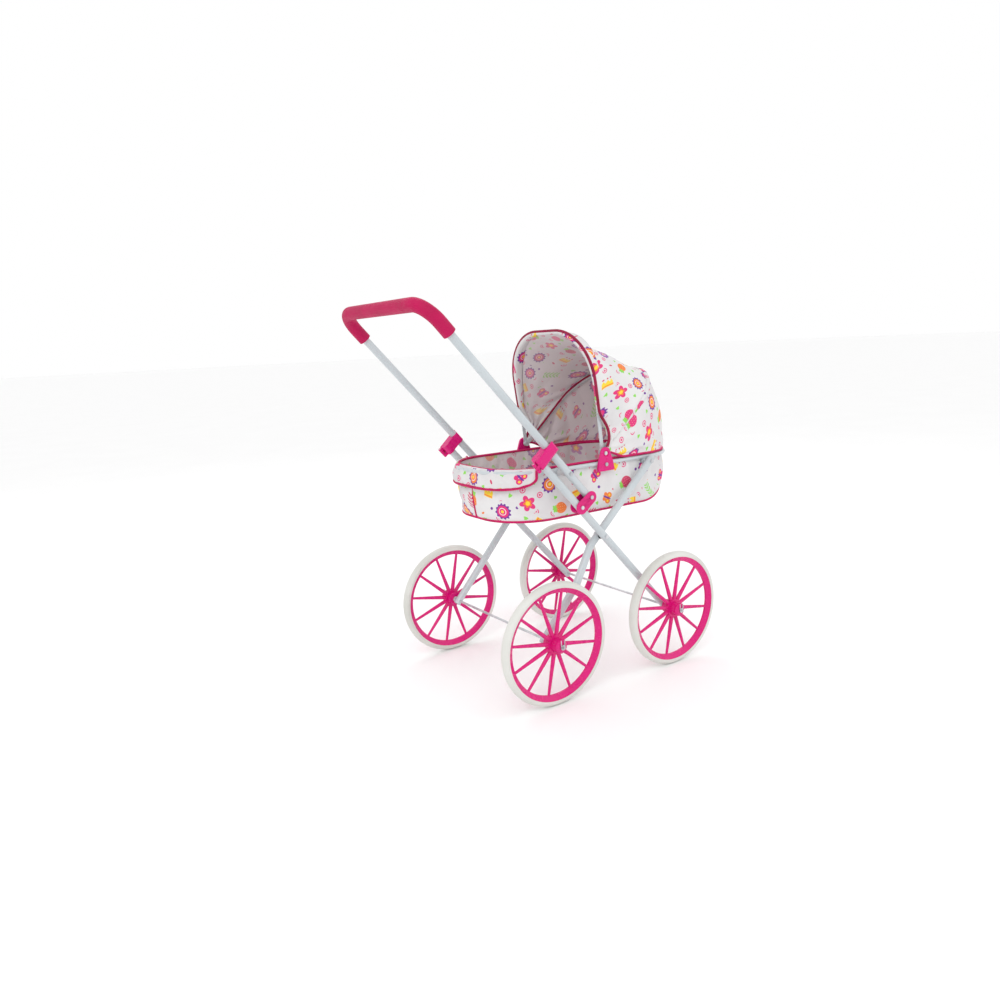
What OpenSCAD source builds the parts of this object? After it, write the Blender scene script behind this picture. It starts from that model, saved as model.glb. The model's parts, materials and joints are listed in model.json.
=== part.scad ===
// Doll's pram: a folding tube chassis on four spoked wheels, with a fabric carrycot and a folding hood.
// +X is the hood end, the handle is at -X, +Z is up, and the wheels stand on z = 0.

/* [Wheels] */
// Distance between the two axles
wheelbase = 312; // [304:2:320]
// Tyre radius, which is also the height of the axles
tyre_r = 120; // [118:1:122]
// Radius where the spokes meet the rim
rim_in_r = 100; // [98:1:101]
// Width of the tyre
tyre_w = 20; // [18:1:20]
// Number of spokes
spokes = 12; // [8:1:14]
/* [Chassis] */
// Radius of the frame tubes
tube_r = 7.5; // [7:0.25:7.5]
// Wall of the frame tubes
tube_wall = 0.8; // [0.6:0.1:1.2]
// Radius of the axle wires
axle_r = 2.5; // [2:0.25:2.5]
// Radius of the rivets
rivet_r = 2; // [1.5:0.25:2]
/* [Handle] */
// Radius of the foam grip
grip_r = 12.5; // [11:0.5:13]
// Length of the grip's arms, measured from the handle's corner
grip_len = 66; // [60:1:72]
// Bend radius at the handle's corners
handle_bend = 42; // [40:1:46]
/* [Carrycot] */
// Half width of the fabric carrycot
cot_w = 124.5; // [122:0.5:124.5]
// Height of the carrycot's floor
cot_z = 340; // [338:1:344]
// Height of the bare rim tube
rim_z = 435; // [434:0.5:435]
// Radius of the rim tube
rim_r = 4; // [3.5:0.25:4]
/* [Hood] */
// Top radius of the hood's front panel about its pivot
hood_r = 241; // [239:1:244]

/* [Hidden] */
$fn = 64;
SOFT_FN = 32;

PINK = "#e0187a";
FOAM = "#c8174f";
WHITE = "#eef1f4";
IVORY = "#f4f1e6";
STEEL = "#b9bdc2";
CLOTH = "#f3e6ec";

// Side-view points [x, z] from the middle of the wheelbase: the pivots of the folding linkage
axle_x = wheelbase / 2;
cross_p = [-7, 296];        // front and rear legs cross
link_top_p = [-44, 381];    // lower end of the handle tube
link_low_p = [-68, 364];    // link plates on the front leg
handle_p = [-90, 432];      // handle tube on the basket rim
rear_top_p = [136, 427];    // rear leg on the basket rim
hood_p = [24, 455];         // hood hoops on their brackets
bracket_p = [24, 433];      // hood bracket on the rim
leg_top_p = [-157, 462];    // top end of the front leg
handle_corner = [-376, 744];
frame_shift = ((grip_r - handle_corner[0]) - (axle_x + tyre_r)) / 2;

// Sideways layers, from the centre outwards
rim_y = 130;
inner_y = 144;              // rear legs
foot_y = 156;               // rear legs at their axle
frame_y = 162;              // handle tubes and front legs
hub_in = 170.5;
wheel_y = 188;
hub_out = 205;
cap_out = 211;
axle_end = 217;
frame_out = frame_y + tube_r;
frame_in = frame_y - tube_r;
inner_out = inner_y + tube_r;
inner_in = inner_y - tube_r;
lug_in = rim_y - 3.5;
lug_out = rim_y + rim_r;
run = 0.08;                 // radial running clearance of rivets and axles
gap = 0.3;                  // side clearance between parts that turn on each other
head_r = 3.8;
head_t = 1.6;

// ---------- helpers ----------
function unit(v) = v / norm(v);
function at_y(p, y) = [p[0], y, p[1]];
// Left side as drawn, right side as its mirror image
module side(s) { if (s > 0) children(); else mirror([0, 1, 0]) children(); }
module place() { translate([frame_shift, 0, 0]) children(); }
module both() { place() for (s = [1, -1]) side(s) children(); }
// A round bar, a washer and a rivet along +Y at a side-view point
module bar_y(p, y0, y1, r) { translate([p[0], y0, p[1]]) rotate([-90, 0, 0]) cylinder(r = r, h = y1 - y0); }
module ring_y(p, y0, y1, r, hole) { difference() { bar_y(p, y0, y1, r); bar_y(p, y0 - 1, y1 + 1, hole); } }
module rivet(p, y0, y1, inner_head = true) {
  union() {
    bar_y(p, y0, y1, rivet_r);
    if (inner_head) bar_y(p, y0 - head_t, y0, head_r);
    bar_y(p, y1, y1 + head_t, head_r);
  }
}
// A straight round bar from point a to point b
module bar(a, b, r) {
  d = b - a;
  translate(a) rotate([0, acos(d[2] / norm(d)), atan2(d[1], d[0])]) cylinder(r = r, h = norm(d));
}
// An elbow at point p, from travel direction a to travel direction b
module elbow(p, a, b, bend, r) {
  turn = acos(a * b);
  c = p + unit(b - a) * bend / cos(turn / 2);
  ex = unit(p - a * bend * tan(turn / 2) - c);
  ez = cross(ex, a);
  multmatrix([[ex[0], a[0], ez[0], c[0]], [ex[1], a[1], ez[1], c[1]], [ex[2], a[2], ez[2], c[2]], [0, 0, 0, 1]])
    rotate_extrude(angle = turn) translate([bend, 0]) circle(r = r);
}
// A round bar along points with rounded corners, and a hollow tube along them
module bent(pts, bend, r) {
  n = len(pts);
  d = [for (i = [0:n - 2]) unit(pts[i + 1] - pts[i])];
  t = [for (i = [0:n - 1]) i == 0 || i == n - 1 ? 0 : bend * tan(acos(d[i - 1] * d[i]) / 2)];
  union() {
    for (i = [0:n - 2]) bar(pts[i] + d[i] * t[i], pts[i + 1] - d[i] * t[i + 1], r);
    if (n > 2) for (i = [1:n - 2]) elbow(pts[i], d[i - 1], d[i], bend, r);
  }
}
module tube(pts, bend) { difference() { bent(pts, bend, tube_r); bent(pts, bend, tube_r - tube_wall); } }
// A bar along points whose gentle corners are slightly swollen
module kinked(pts, r) {
  n = len(pts);
  union() {
    for (i = [0:n - 2]) bar(pts[i], pts[i + 1], r);
    for (i = [1:n - 2]) translate(pts[i]) sphere(r = r + 0.12);
  }
}

// ---------- handle ----------
arm_dir = unit(at_y(link_top_p, 0) - at_y(handle_corner, 0));
arm_foot = at_y(link_top_p, frame_y) + arm_dir * 9;
arm_top = at_y(handle_corner, frame_y);
across = [-arm_dir[2], 0, arm_dir[0]];      // square to the arms, from the front legs to the handle
// The point of the handle arm's axis nearest to a side-view point
function on_arm(p) = let (q = arm_top + arm_dir * ((at_y(p, frame_y) - arm_top) * arm_dir)) [q[0], q[2]];
handle_pivot = on_arm(handle_p);

// Local frame of the handle's plane: x down the arms, y to the left, z forwards and up
module handle_frame() {
  multmatrix([[arm_dir[0], 0, across[0], arm_top[0]], [0, 1, 0, 0], [arm_dir[2], 0, across[2], arm_top[2]], [0, 0, 0, 1]])
    children();
}
function loop(reach) = [[reach, frame_y, 0], [0, frame_y, 0], [0, -frame_y, 0], [reach, -frame_y, 0]];
arm_len = norm(arm_foot - arm_top);
module handle_bar() {
  color(WHITE) place() difference() {
    handle_frame() tube(loop(arm_len), handle_bend);
    for (s = [1, -1]) side(s) bar_y(handle_pivot, frame_in - 2, frame_out + 2, rivet_r + run);
  }
}
module handle_grip() {
  color(FOAM) place() handle_frame() difference() {
    bent(loop(grip_len), handle_bend, grip_r);
    bent(loop(grip_len + 20), handle_bend, tube_r + 0.05);
  }
}
module handle_end_plugs() {
  color(WHITE) both() union() {
    bar(arm_foot, arm_foot + arm_dir * 1.6, tube_r);
    bar(arm_foot - arm_dir * 4, arm_foot, tube_r - tube_wall - 0.05);
  }
}

// ---------- legs ----------
leg_foot = at_y([axle_x, tyre_r], frame_y);
leg_top = at_y(leg_top_p, frame_y);
leg_dir = unit(leg_foot - leg_top);
function on_leg(p) = let (q = leg_top + leg_dir * ((at_y(p, frame_y) - leg_top) * leg_dir)) [q[0], q[2]];
cross_pivot = on_leg(cross_p);
link_pivot = on_leg(link_low_p);
rear_dir = unit(at_y(rear_top_p, 0) - at_y(cross_pivot, 0));
rear_foot_dir = unit([-82, 0, -92]);
rear_pts = [
  at_y(rear_top_p, inner_y) + rear_dir * 9,
  at_y(cross_pivot, inner_y) - rear_dir * 28,
  [-74, foot_y, 212],
  [-axle_x, foot_y, tyre_r] + rear_foot_dir * 8
];

module front_leg(s) {
  color(WHITE) place() side(s) difference() {
    tube([leg_foot + leg_dir * 8, leg_top], 10);
    for (p = [cross_pivot, link_pivot]) bar_y(p, frame_in - 2, frame_out + 2, rivet_r + run);
    bar_y([axle_x, tyre_r], frame_in - 2, frame_out + 2, axle_r + run);
  }
}
module rear_leg(s) {
  color(WHITE) place() side(s) difference() {
    kinked(rear_pts, tube_r);
    // bored from both ends, up to its bends
    bar(rear_pts[0] + rear_dir, rear_pts[1] + rear_dir * 8, tube_r - tube_wall);
    bar(rear_pts[3] + rear_foot_dir, rear_pts[2] + rear_foot_dir * 8, tube_r - tube_wall);
    for (p = [cross_pivot, rear_top_p]) bar_y(p, inner_in - 2, inner_out + 2, rivet_r + run);
    bar_y([-axle_x, tyre_r], foot_y - 12, foot_y + 12, axle_r + run);
  }
}
module rear_leg_caps() { color(WHITE) both() bar(rear_pts[0], rear_pts[0] + rear_dir * 1.6, tube_r); }

// ---------- axles ----------
module axle(x) { color(STEEL) place() bar_y([x, tyre_r], -axle_end, axle_end, axle_r); }
// A spring clip on the wire's end, just outside the hub cap
module axle_clips(x) {
  color(STEEL) both() union() {
    ring_y([x, tyre_r], cap_out + 0.4, cap_out + 2.4, 5, axle_r + 0.05);
    for (a = [-1, 1]) translate([x + a * 4, cap_out + 1.4, tyre_r + 2]) cylinder(r = 0.9, h = 12);
  }
}
module rear_axle_spacers() {
  color(WHITE) both() ring_y([-axle_x, tyre_r], foot_y + tube_r + 0.1, hub_in - gap, 6, axle_r + 0.05);
}

// ---------- latches ----------
tube_gap = (arm_top - leg_top) * across;
leg_across = [-leg_dir[2], 0, leg_dir[0]];
latch_len = 22;
latch_pin = [-15, 5.5];
latch_pin_r = 1.5;
// Local frame on the leg's top end: x across to the handle tube, y outwards, z up along the leg
module latch_frame() {
  multmatrix([[leg_across[0], 0, -leg_dir[0], leg_top[0]], [0, 1, 0, leg_top[1]],
    [leg_across[2], 0, -leg_dir[2], leg_top[2]], [0, 0, 0, 1]]) children();
}
module latch_knuckle(z0, z1, lift) {
  translate([latch_pin[0], latch_pin[1], z0]) cylinder(r = 3.4, h = z1 - z0);
  if (lift) {
    translate([latch_pin[0], latch_pin[1] + 0.4, z0]) cube([4.3, 3, z1 - z0]);
    translate([latch_pin[0], tube_r + 0.4, z0]) cube([8, 1.4, z1 - z0]);
  } else translate([latch_pin[0], latch_pin[1] - 3.4, z0]) cube([7.5, 3, z1 - z0]);
}
module latch_base(s) {
  half = latch_len / 2;
  color(PINK) place() side(s) latch_frame() difference() {
    union() {
      translate([0, 0, -half]) cylinder(r = tube_r + 2.6, h = latch_len);
      translate([0, -8, -half]) cube([tube_gap, 15, latch_len]);
      translate([tube_gap, 0, -half]) cylinder(r = tube_r + 2.6, h = latch_len);
      for (z = [-half, 4]) latch_knuckle(z, z + half - 4, false);
    }
    translate([0, 0, -half - 1]) cylinder(r = tube_r + 0.1, h = half + 1.1);
    translate([tube_gap, 0, -half - 1]) cylinder(r = tube_r + 0.4, h = latch_len + 2);
    translate([tube_gap, -tube_r - 0.4, -half - 1]) cube([30, 2 * tube_r + 0.8, latch_len + 2]);
    translate([-10.5, tube_r, -half - 1]) cube([60, 12, latch_len + 2]);
    translate([latch_pin[0], latch_pin[1], -half - 1]) cylinder(r = latch_pin_r + 0.05, h = latch_len + 2);
  }
}
module latch_lever(s) {
  half = latch_len / 2;
  color(PINK) place() side(s) latch_frame() difference() {
    union() {
      hull() {
        translate([-10, tube_r + 0.4, -half]) cube([tube_gap + 22, 2, latch_len]);
        translate([-6, tube_r + 0.4, -half + 4]) cube([tube_gap + 14, 4.6, latch_len - 8]);
      }
      latch_knuckle(-3.4, 3.4, true);
    }
    translate([latch_pin[0], latch_pin[1], -half]) cylinder(r = latch_pin_r + run, h = latch_len);
  }
}
module latch_pins() {
  color(STEEL) both() latch_frame()
    translate([latch_pin[0], latch_pin[1], -latch_len / 2]) cylinder(r = latch_pin_r, h = latch_len);
}

// ---------- link plates ----------
plate_t = 2.4;
plate_out = frame_out + gap;
plate_in = frame_in - gap - plate_t;
handle_end = [arm_foot[0], arm_foot[2]] - [arm_dir[0], arm_dir[2]] * 9;
module link_plate(s, y0) {
  color(PINK) place() side(s) difference() {
    hull() {
      bar_y(link_pivot, y0, y0 + plate_t, 13, $fn = SOFT_FN);
      bar_y(handle_end, y0, y0 + plate_t, 12, $fn = SOFT_FN);
    }
    for (p = [link_pivot, handle_end]) bar_y(p, y0 - 1, y0 + plate_t + 1, rivet_r + 0.05);
  }
}
module link_rivets() { color(STEEL) both() rivet(link_pivot, plate_in, plate_out + plate_t); }
// Each stud stops at its plate's inner face, so the handle's end is free to move between the plates
module link_end_studs() {
  color(STEEL) both() {
    rivet(handle_end, plate_out, plate_out + plate_t, false);
    union() {
      bar_y(handle_end, plate_in, plate_in + plate_t, rivet_r);
      bar_y(handle_end, plate_in - head_t, plate_in, head_r);
    }
  }
}

// ---------- pivots ----------
module cross_rivets() { color(STEEL) both() rivet(cross_pivot, inner_in - 0.1, frame_out + 0.1); }
module cross_spacers() { color("#3a3a40") both() ring_y(cross_pivot, inner_out + 0.1, frame_in - 0.1, 7, rivet_r + run); }
module handle_rivets() { color(STEEL) both() rivet(handle_pivot, lug_in + 1, frame_out + 0.1, false); }
module handle_spacers() { color(WHITE) both() ring_y(handle_pivot, lug_out, frame_in - gap, 6, rivet_r + 0.05); }
module rear_leg_rivets() { color(STEEL) both() rivet(rear_top_p, lug_in + 1, inner_out + 0.1, false); }
module rear_leg_spacers() { color(WHITE) both() ring_y(rear_top_p, lug_out, inner_in - gap, 6, rivet_r + 0.05); }

// ---------- carrycot ----------
end_r = 105;
head_x = 251.5;             // ends of the rim's centre line
foot_x = -203.5;
arc_n = 12;
function arc(c, r, a0, a1, n = arc_n) = [for (i = [0:n]) let (a = a0 + (a1 - a0) * i / n) c + r * [cos(a), sin(a)]];
// Plan outline of the rim's centre line, moved inwards by d
function plan(d) = let (r = end_r - d, w = rim_y - end_r, xh = head_x - end_r, xf = foot_x + end_r)
  concat(arc([xh, w], r, 90, 0), arc([xh, -w], r, 0, -90), arc([xf, -w], r, -90, -180), arc([xf, w], r, 180, 90));
cot_d = rim_y - cot_w;
cot_top = 441;
// Side outline: a flat floor that sweeps up at the head end, moved inwards by d
bow_r = 80;
function side_outline(d) = concat(
  [[foot_x - 10, cot_top + 20], [foot_x - 10, cot_z + d], [head_x - 5 - bow_r, cot_z + d]],
  arc([head_x - 5 - bow_r, cot_z + bow_r], bow_r - d, -90, -40, 6),
  [[head_x + 10, cot_z + bow_r - 8], [head_x + 10, cot_top + 20]]);
module cot_block(d) {
  intersection() {
    translate([0, 0, cot_z - 10]) linear_extrude(cot_top - cot_z + 10 + (d > 0 ? 5 : 0)) polygon(plan(cot_d + d));
    rotate([90, 0, 0]) translate([0, 0, -200]) linear_extrude(400) polygon(side_outline(d));
  }
}
cot_wall = 2.5;
module carrycot() { color(CLOTH) place() difference() { cot_block(0); cot_block(cot_wall); } }
module base_board() {
  color("#d8d2c4") place() translate([0, 0, cot_z + cot_wall + 0.3]) linear_extrude(3)
    polygon([for (p = plan(cot_d + cot_wall + 4)) [min(p[0], head_x - 5 - bow_r), p[1]]]);
}
// The bare tube loop, with welded lugs for the pivots and the hood brackets
module basket_rim() {
  w = rim_y - end_r;
  xh = head_x - end_r;
  xf = foot_x + end_r;
  color(WHITE) place() difference() {
    union() {
      for (c = [[xh, w, 0], [xf, w, 90], [xf, -w, 180], [xh, -w, 270]])
        translate([c[0], c[1], rim_z]) rotate(c[2]) rotate_extrude(angle = 90) translate([end_r, 0]) circle(r = rim_r);
      for (s = [1, -1]) {
        bar([xf, s * rim_y, rim_z], [xh, s * rim_y, rim_z], rim_r);
        side(s) for (p = [handle_pivot, rear_top_p, bracket_p]) bar_y(p, lug_in, lug_out, 8);
      }
      for (x = [foot_x, head_x]) bar([x, -w, rim_z], [x, w, rim_z], rim_r);
    }
    for (s = [1, -1]) side(s) for (p = [handle_pivot, rear_top_p, bracket_p])
      bar_y(p, lug_in + 1, lug_out + 1, rivet_r + 0.05);
  }
}
// A short cloth apron that folds over the rim and hangs outside the foot end
flap_reach = 42;
module foot_flap() {
  color(CLOTH) place() intersection() {
    union() {
      translate([0, 0, 406]) linear_extrude(cot_top - 406) difference() {
        polygon(plan(-rim_r - 6));
        polygon(plan(-rim_r - 1));
      }
      translate([0, 0, rim_z + rim_r + 0.3]) linear_extrude(cot_top - rim_z - rim_r - 0.3) difference() {
        polygon(plan(-rim_r - 6));
        polygon(plan(cot_d - 0.2));
      }
    }
    translate([foot_x - 20, -200, 400]) cube([20 + flap_reach, 400, 60]);
  }
}

// ---------- hood ----------
// Each panel is a piece of a round vault about the pivot, so that it slides over the next one
hood_corner = 105;
panel_t = 1.5;
front_w = 131;
layer = 4.6;                // sideways step from one panel to the next
panel_start = 24;
// Cross-section in the plane [radius, y]: straight sides, round shoulders and a flat crown
function arch(w, r, c, start) = concat([[start, -w]], arc([r - c, -w + c], c, -90, 0), arc([r - c, w - c], c, 0, 90), [[start, w]]);
function reverse(v) = [for (i = [len(v) - 1:-1:0]) v[i]];
module arch_wall(w, r, t, start) {
  polygon(concat(arch(w, r, hood_corner, start), reverse(arch(w - t, r - t, hood_corner - t, start))));
}
module vault(w, r, a0, a1) {
  color(CLOTH) place() translate([hood_p[0], 0, hood_p[1]]) rotate([90, 0, 0]) rotate(a0)
    rotate_extrude(angle = a1 - a0) arch_wall(w, r, panel_t, panel_start);
}
// A flat strip bent to the same arch, with an eye at each end
strip_t = 1.8;
strip_w = 8;
module hoop(w, r, a) {
  color(WHITE) place() translate([hood_p[0], 0, hood_p[1]]) rotate([90, 0, 0]) rotate([0, 0, a]) difference() {
    union() {
      rotate([90, 0, 0]) translate([0, 0, -strip_w / 2]) linear_extrude(strip_w) arch_wall(w, r, strip_t, 0);
      for (s = [1, -1]) translate([0, 0, s > 0 ? w - strip_t : -w]) cylinder(r = 6, h = strip_t);
    }
    translate([0, 0, -200]) cylinder(r = rivet_r + run, h = 400);
  }
}
module hood_bracket(s) {
  color(PINK) place() side(s) difference() {
    hull() {
      bar_y(hood_p, lug_out + gap, lug_out + gap + 4, 12, $fn = SOFT_FN);
      for (x = [-13, 13]) bar_y([hood_p[0] + x, 438], lug_out + gap, lug_out + gap + 4.5, 5, $fn = SOFT_FN);
      for (x = [-17, 17]) bar_y([hood_p[0] + x, 424], lug_out + gap, lug_out + gap + 5, 4, $fn = SOFT_FN);
    }
    // arched recess round the hood's rivet
    bar_y(hood_p, lug_out + gap + 3, lug_out + gap + 9, 7, $fn = SOFT_FN);
    for (p = [hood_p, bracket_p]) bar_y(p, lug_out - 1, lug_out + 10, rivet_r + 0.05);
  }
}
module hood_rivets() { color(STEEL) both() rivet(hood_p, front_w - 2 * layer + 0.3, lug_out + gap + 3, false); }
module bracket_rivets() { color(STEEL) both() rivet(bracket_p, lug_in + 1, lug_out + gap + 5, false); }

// ---------- wheels ----------
hub_r = 14;
spoke_turn = 19;            // turn of the first spoke from +X
module wheel(x, s) {
  color(PINK) place() side(s) translate([x, wheel_y, tyre_r]) rotate([90, 0, 0]) difference() {
    union() {
      translate([0, 0, wheel_y - hub_out]) cylinder(r = hub_r, h = hub_out - hub_in);
      translate([0, 0, -5]) cylinder(r = hub_r + 5, h = 10);
      for (i = [0:spokes - 1]) rotate(spoke_turn + i * 360 / spokes) translate([hub_r + 2, 0, 0]) rotate([0, 90, 0])
        cylinder(r1 = 4.4, r2 = 2.6, h = rim_in_r - hub_r);
      rotate_extrude() polygon([[rim_in_r - 1, -2], [rim_in_r + 9, -tyre_w / 2 + 1.5],
        [rim_in_r + 9, tyre_w / 2 - 1.5], [rim_in_r - 1, 2]]);
    }
    translate([0, 0, -100]) cylinder(r = axle_r + run, h = 200);
  }
}
module tyre(x, s) {
  seat = rim_in_r + 9.05;
  edge = tyre_r - 8;
  color(IVORY) place() side(s) translate([x, wheel_y, tyre_r]) rotate([90, 0, 0]) rotate_extrude()
    polygon(concat([[seat, tyre_w / 2 - 1]], [for (a = [80:-16:-80]) [edge + 8 * cos(a), tyre_w / 2 * sin(a)]],
      [[seat, -tyre_w / 2 + 1]]));
}
module hub_cap(x, s) {
  color(PINK) place() side(s) translate([x, hub_out, tyre_r]) rotate([-90, 0, 0]) difference() {
    union() {
      cylinder(r = 13, h = 2.5);
      translate([0, 0, 2.5]) cylinder(r1 = 13, r2 = 9, h = cap_out - hub_out - 2.5);
    }
    translate([0, 0, -1]) cylinder(r = axle_r + run, h = 10);
  }
}

handle_bar();
handle_grip();
handle_end_plugs();
front_leg(1);  // front_leg_left
front_leg(-1);  // front_leg_right
rear_leg(1);  // rear_leg_left
rear_leg(-1);  // rear_leg_right
rear_leg_caps();
axle(axle_x);  // front_axle
axle(-axle_x);  // rear_axle
axle_clips(axle_x);  // front_axle_clips
axle_clips(-axle_x);  // rear_axle_clips
rear_axle_spacers();
latch_base(1);  // latch_base_left
latch_base(-1);  // latch_base_right
latch_lever(1);  // latch_lever_left
latch_lever(-1);  // latch_lever_right
latch_pins();
link_plate(1, plate_out);  // link_plate_outer_left
link_plate(1, plate_in);  // link_plate_inner_left
link_plate(-1, plate_out);  // link_plate_outer_right
link_plate(-1, plate_in);  // link_plate_inner_right
link_rivets();
link_end_studs();
cross_rivets();
cross_spacers();
handle_rivets();
handle_spacers();
rear_leg_rivets();
rear_leg_spacers();
basket_rim();
carrycot();
base_board();
foot_flap();
hood_bracket(1);  // hood_bracket_left
hood_bracket(-1);  // hood_bracket_right
hood_rivets();
bracket_rivets();
hoop(front_w - panel_t - 0.5, hood_r - panel_t - 0.5, 96);  // hood_front_hoop
hoop(front_w - layer - panel_t - 0.5, hood_r - 6 - panel_t - 0.5, 41);  // hood_rib_hoop
vault(front_w, hood_r, 66, 98);  // hood_front_panel
vault(front_w - layer, hood_r - 6, 33.5, 66.5);  // hood_middle_panel
vault(front_w - 2 * layer, hood_r - 19, -3, 34);  // hood_rear_panel
wheel(axle_x, 1);  // wheel_front_left
tyre(axle_x, 1);  // tyre_front_left
hub_cap(axle_x, 1);  // hub_cap_front_left
wheel(axle_x, -1);  // wheel_front_right
tyre(axle_x, -1);  // tyre_front_right
hub_cap(axle_x, -1);  // hub_cap_front_right
wheel(-axle_x, 1);  // wheel_rear_left
tyre(-axle_x, 1);  // tyre_rear_left
hub_cap(-axle_x, 1);  // hub_cap_rear_left
wheel(-axle_x, -1);  // wheel_rear_right
tyre(-axle_x, -1);  // tyre_rear_right
hub_cap(-axle_x, -1);  // hub_cap_rear_right
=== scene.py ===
import json
import math

import bpy
import numpy as np
from mathutils import Matrix, Vector


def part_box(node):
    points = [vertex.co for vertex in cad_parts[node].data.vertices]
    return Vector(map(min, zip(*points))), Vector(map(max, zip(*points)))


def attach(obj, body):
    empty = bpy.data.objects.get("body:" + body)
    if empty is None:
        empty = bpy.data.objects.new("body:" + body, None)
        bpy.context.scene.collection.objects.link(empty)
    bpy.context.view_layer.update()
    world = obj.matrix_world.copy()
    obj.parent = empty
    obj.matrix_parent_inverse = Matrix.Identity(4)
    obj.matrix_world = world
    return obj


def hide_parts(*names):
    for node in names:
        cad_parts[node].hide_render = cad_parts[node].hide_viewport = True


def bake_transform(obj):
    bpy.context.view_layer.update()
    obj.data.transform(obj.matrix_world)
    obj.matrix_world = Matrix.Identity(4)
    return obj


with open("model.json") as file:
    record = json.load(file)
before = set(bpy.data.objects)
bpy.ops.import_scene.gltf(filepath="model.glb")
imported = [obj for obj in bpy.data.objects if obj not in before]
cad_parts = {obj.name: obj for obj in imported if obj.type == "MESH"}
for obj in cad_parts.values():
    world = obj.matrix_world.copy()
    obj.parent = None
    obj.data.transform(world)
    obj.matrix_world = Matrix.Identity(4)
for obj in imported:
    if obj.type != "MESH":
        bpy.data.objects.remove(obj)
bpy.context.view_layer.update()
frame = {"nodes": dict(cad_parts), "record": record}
nodes = frame["nodes"]


def middle(node):
    lo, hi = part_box(node)
    return (lo + hi) / 2


# ---------- places, all from the frame's own boxes ----------
SHIFT = (middle("front_axle").x + middle("rear_axle").x) / 2
PIVOT = np.array([middle("hood_rivets").x, 0.0, middle("hood_rivets").z])
COT_LO, COT_HI = (np.array(v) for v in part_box("carrycot"))
COT_W = COT_HI[1]
RIM_Z = COT_HI[2] - 0.006
END_R = 0.105 - 0.0055


def loop_points(grow, count, z=0.0):
    """The cot's rounded plan grown outwards, from mid foot end round -Y, the head end and +Y."""
    r, w = END_R + grow, COT_W - END_R
    x0, x1 = COT_LO[0] + END_R, COT_HI[0] - END_R
    pts = [(x0 - r, 0.0)]
    for cx, cy, a0 in ((x0, -w, 180), (x1, -w, 270), (x1, w, 0), (x0, w, 90)):
        pts += [(cx + r * math.cos(math.radians(a)), cy + r * math.sin(math.radians(a)))
                for a in np.linspace(a0, a0 + 90, 25)]
    pts.append((x0 - r, 0.0))
    p = np.array(pts)
    d = np.concatenate([[0], np.cumsum(np.linalg.norm(np.diff(p, axis=0), axis=1))])
    s = np.linspace(0, d[-1], count)
    return np.column_stack([np.interp(s, d, p[:, 0]), np.interp(s, d, p[:, 1]), np.full(count, z)])


def floor_z(x):
    """Height of the carrycot's bottom seam: flat, then sweeping up at the head end."""
    t = np.clip((x - SHIFT - 0.135) / 0.111, 0, 1)
    return COT_LO[2] + 0.047 * t**2.0


def smooth(a, b, x):
    t = np.clip((x - a) / (b - a), 0, 1)
    return t * t * (3 - 2 * t)


def wave(p, size, seed):
    """Smooth repeatable unevenness between about -1 and 1."""
    q = np.asarray(p) / size
    s = np.zeros(q.shape[:-1])
    rng = np.random.default_rng(seed)
    for _ in range(7):
        k = rng.normal(size=q.shape[-1]) * 1.6
        s += np.sin(q @ k + rng.uniform(0, 6.28))
    return s / 3.5


# ---------- mesh helpers ----------
def add(name, verts, faces, uvs=None, smooth_faces=True):
    me = bpy.data.meshes.new(name)
    me.from_pydata([tuple(v) for v in verts], [], faces)
    if uvs is not None:
        layer = me.uv_layers.new(name="UVMap")
        loops = np.empty(len(me.loops), dtype=np.int32)
        me.loops.foreach_get("vertex_index", loops)
        layer.data.foreach_set("uv", np.asarray(uvs, np.float32)[loops].ravel())
    me.polygons.foreach_set("use_smooth", [smooth_faces] * len(me.polygons))
    o = bpy.data.objects.new(name, me)
    bpy.context.scene.collection.objects.link(o)
    return o


def grid(name, p, uv=None):
    """A sheet through an array of points p[i, j]; uv defaults to lengths along its rows and columns."""
    n, m = p.shape[:2]
    if uv is None:
        u = np.concatenate([np.zeros((1, m)), np.cumsum(np.linalg.norm(np.diff(p, axis=0), axis=2), axis=0)])
        v = np.concatenate([np.zeros((n, 1)), np.cumsum(np.linalg.norm(np.diff(p, axis=1), axis=2),
            axis=1)], axis=1)
        uv = np.dstack([u, v])
    faces = [(i * m + j, (i + 1) * m + j, (i + 1) * m + j + 1, i * m + j + 1) for i in range(n - 1)
             for j in range(m - 1)]
    return add(name, p.reshape(-1, 3), faces, uv.reshape(-1, 2))


def tube(name, line, r, n=10, closed=False, flat=1.0):
    """A round or flattened bead along a line of points."""
    line = np.asarray(line, float)
    if closed:
        line = np.vstack([line, line[:1]])
    d = np.gradient(line, axis=0)
    if closed:
        d[0] = d[-1] = line[1] - line[-2]
    d /= np.linalg.norm(d, axis=1)[:, None]
    up = np.array([0.0, 0.0, 1.0]) if abs(d[0][2]) < 0.8 else np.array([1.0, 0.0, 0.0])
    rings, uv, far = [], [], 0.0
    for i, (p, t) in enumerate(zip(line, d)):
        up = up - t * (up @ t)
        up /= np.linalg.norm(up)
        side = np.cross(t, up)
        far += np.linalg.norm(line[i] - line[i - 1]) if i else 0.0
        for k in range(n + 1):
            a = 2 * math.pi * k / n
            rings.append(p + (math.cos(a) * side * flat + math.sin(a) * up) * r)
            uv.append((far, k / n * 2 * math.pi * r))
    m = n + 1
    faces = [(i * m + k, i * m + k + 1, (i + 1) * m + k + 1, (i + 1) * m + k) for i in range(len(line) - 1)
             for k in range(n)]
    o = add(name, rings, faces, uv)
    weld(o, 1e-6)
    return o


def weld(o, dist):
    m = o.modifiers.new("weld", "WELD")
    m.merge_threshold = dist
    bake(o)


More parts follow.
